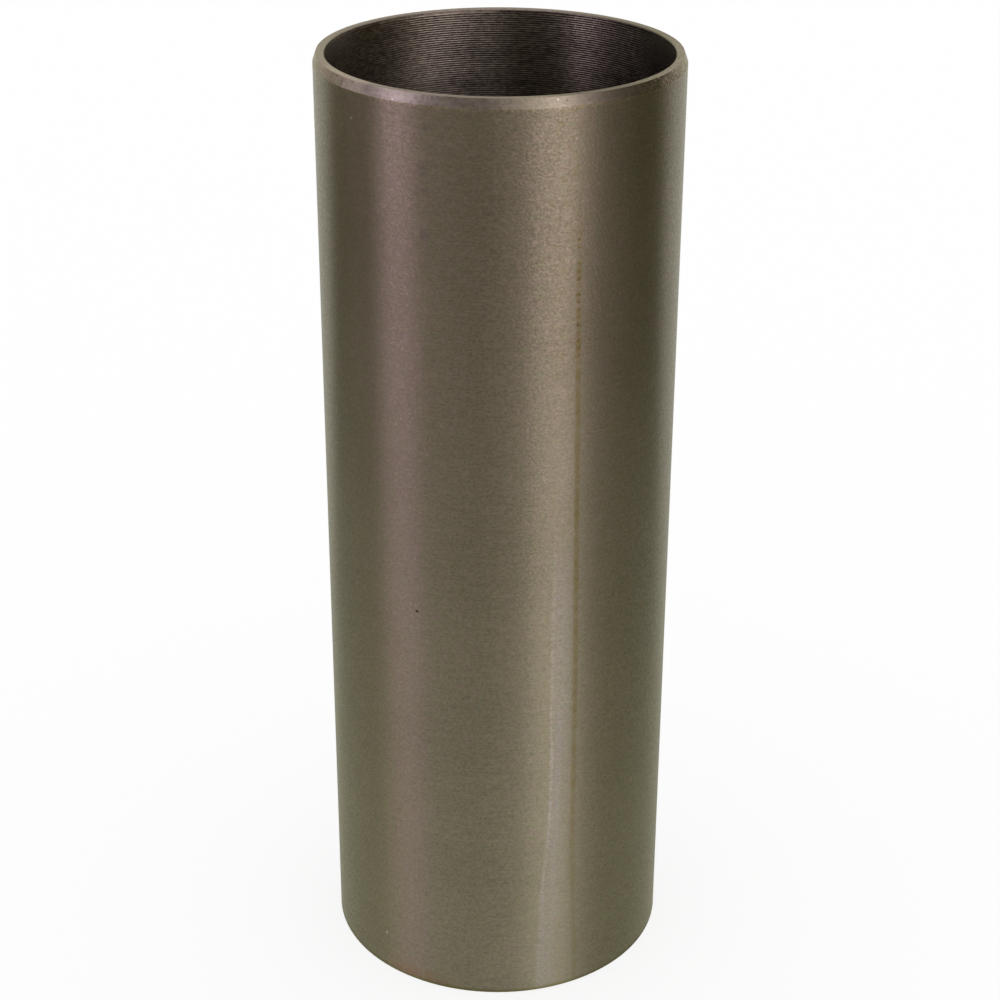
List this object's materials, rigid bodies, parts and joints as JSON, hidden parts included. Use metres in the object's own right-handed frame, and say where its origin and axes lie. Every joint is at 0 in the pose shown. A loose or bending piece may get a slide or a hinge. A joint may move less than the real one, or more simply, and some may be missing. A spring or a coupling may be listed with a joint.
{
  "type": "cylinder liner",
  "caption": "Plain dry cylinder liner: a thin-walled cast iron tube, ground outside, bored through, with a shallow lead taper at its upper end.",
  "frame": {"origin": "middle of the lower end face, on the liner's axis", "axes": "+Z along the axis of the bore, towards the end with the lead taper; the liner is a body of revolution, so +X and +Y are any two square directions across it"},
  "size_m": [0.08, 0.08, 0.219],
  "materials": {
    "ground_cast_iron": "outside and lead ground to a satin brown-grey with a light film of oil; bore left darker and ridged by the boring tool"
  },
  "bodies": {
    "root": {"cylinder_liner": "ground_cast_iron"}
  },
  "joints": []
}
